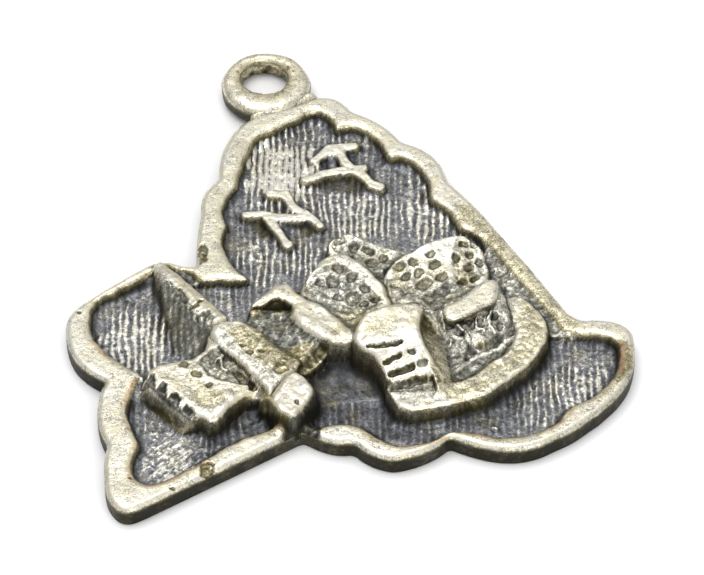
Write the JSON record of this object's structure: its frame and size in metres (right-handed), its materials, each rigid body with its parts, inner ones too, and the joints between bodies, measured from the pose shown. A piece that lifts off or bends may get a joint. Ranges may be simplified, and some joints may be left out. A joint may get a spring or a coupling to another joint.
{
  "type": "map pendant",
  "caption": "Flat silver charm with a place's outline, a raised scalloped border, a small city and two aeroplanes in relief, and a fixed eye ring at the top.",
  "frame": {"origin": "middle of the footprint, on the flat back face", "axes": "+Z out of the decorated face, +Y towards the eye ring, +X to the right of someone who looks at the face"},
  "size_m": [0.0274, 0.0304, 0.0028],
  "materials": {
    "polished_silver": "cast silver, polished on its high places",
    "oxidised_silver": "cast silver, darkened in its recess, with scratched grooves"
  },
  "bodies": {
    "root": {"back_plate": "oxidised_silver", "right_shoulder_rim": "polished_silver", "right_slope_rim": "polished_silver", "right_lobe_rim": "polished_silver", "centre_rim": "polished_silver", "lower_left_rim": "polished_silver", "left_lobe_rim": "polished_silver", "notch_rim": "polished_silver", "left_shoulder_rim": "polished_silver", "front_tower": "polished_silver", "court_roof": "polished_silver", "spire_tower": "polished_silver", "spire": "polished_silver", "long_block": "polished_silver", "court_wall": "polished_silver", "slab_tower": "polished_silver", "corner_tower": "polished_silver", "arch_block": "polished_silver", "back_row": "polished_silver", "quay_wall": "polished_silver", "quay_floor": "polished_silver", "roof_slab": "polished_silver", "round_turret": "polished_silver", "upper_plane": "polished_silver", "lower_plane": "polished_silver", "bail_neck": "polished_silver", "bail_ring": "polished_silver"}
  },
  "joints": []
}
